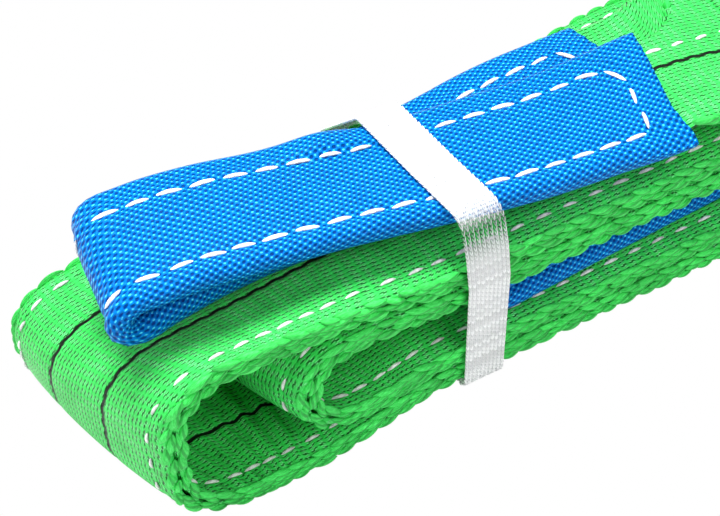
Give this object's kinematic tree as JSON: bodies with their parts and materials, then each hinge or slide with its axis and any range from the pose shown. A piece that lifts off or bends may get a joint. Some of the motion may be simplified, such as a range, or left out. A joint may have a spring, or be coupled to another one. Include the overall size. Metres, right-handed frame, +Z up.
{
  "type": "flat web sling",
  "caption": "Flat lifting sling of striped polyester webbing with two sleeved eyes, folded into a bundle and held by an elastic band.",
  "frame": {"origin": "middle of the bundle's box, on the floor", "axes": "+X along the bundle towards its right end, +Y from the front edge of the webbing to its rear edge, +Z up"},
  "size_m": [0.368, 0.0632, 0.0741],
  "materials": {
    "webbing": "woven polyester, green with two black stripes",
    "sleeve": "woven polyester, blue",
    "thread": "white polyester thread",
    "band": "white knitted elastic",
    "label": "smooth blue, blank"
  },
  "bodies": {
    "sling": {"webbing_ply_outer": "webbing", "webbing_ply_inner": "webbing", "webbing_lap_tail": "webbing", "eye_1_webbing": "webbing", "eye_2_webbing": "webbing", "eye_1_sleeve": "sleeve", "eye_2_sleeve": "sleeve", "eye_1_sleeve_seam": "thread", "eye_2_sleeve_seam": "thread", "edge_seam_front": "thread", "edge_seam_rear": "thread", "splice_1_stitching": "thread", "splice_2_stitching": "thread", "identification_label": "label", "label_stitching": "thread"},
    "band": {"retaining_band": "band"}
  },
  "joints": [
    {"name": "band_slide", "type": "slide", "parent": "sling", "child": "band", "axis": [1, 0, 0], "range_m": [0, 0.015]}
  ]
}
